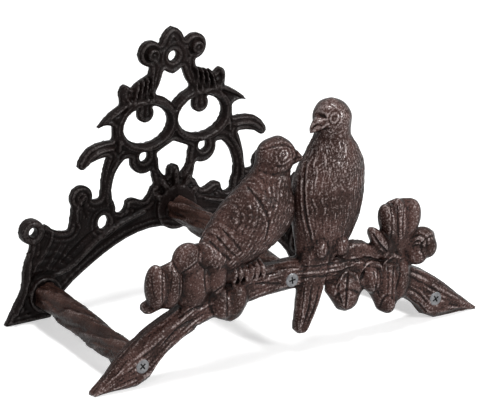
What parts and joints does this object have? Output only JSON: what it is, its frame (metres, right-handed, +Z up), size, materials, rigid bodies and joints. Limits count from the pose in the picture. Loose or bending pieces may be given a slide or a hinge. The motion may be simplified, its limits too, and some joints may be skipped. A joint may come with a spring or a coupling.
{
  "type": "hose hanger",
  "caption": "Cast-iron wall hanger for a garden hose: a pierced scroll plate, ridged bars and an arched branch with perched birds and leaves.",
  "frame": {"origin": "centre of the top fixing hole on the wall plane", "axes": "+X to the right as seen from the front, along the longest extent; -Y out of the wall along the top hole; +Z up"},
  "size_m": [0.301, 0.1581, 0.1875],
  "materials": {
    "plate_iron": "near-black brown antique finish on sand-cast iron, worn grey on the raised lines",
    "branch_iron": "antique brown finish on sand-cast iron, dry grey highlights and rust-brown recesses",
    "bar_iron": "antique brown finish on sand-cast iron",
    "screw_steel": "plain grey zinc-plated steel"
  },
  "bodies": {
    "root": {"back_plate": "plate_iron", "branch_front": "branch_iron", "bar_left": "bar_iron", "bar_centre": "bar_iron", "bar_right": "bar_iron", "front_screw_left": "screw_steel", "front_screw_centre": "screw_steel", "front_screw_right": "screw_steel", "rear_screw_left": "screw_steel", "rear_screw_centre": "screw_steel", "rear_screw_right": "screw_steel"}
  },
  "joints": []
}
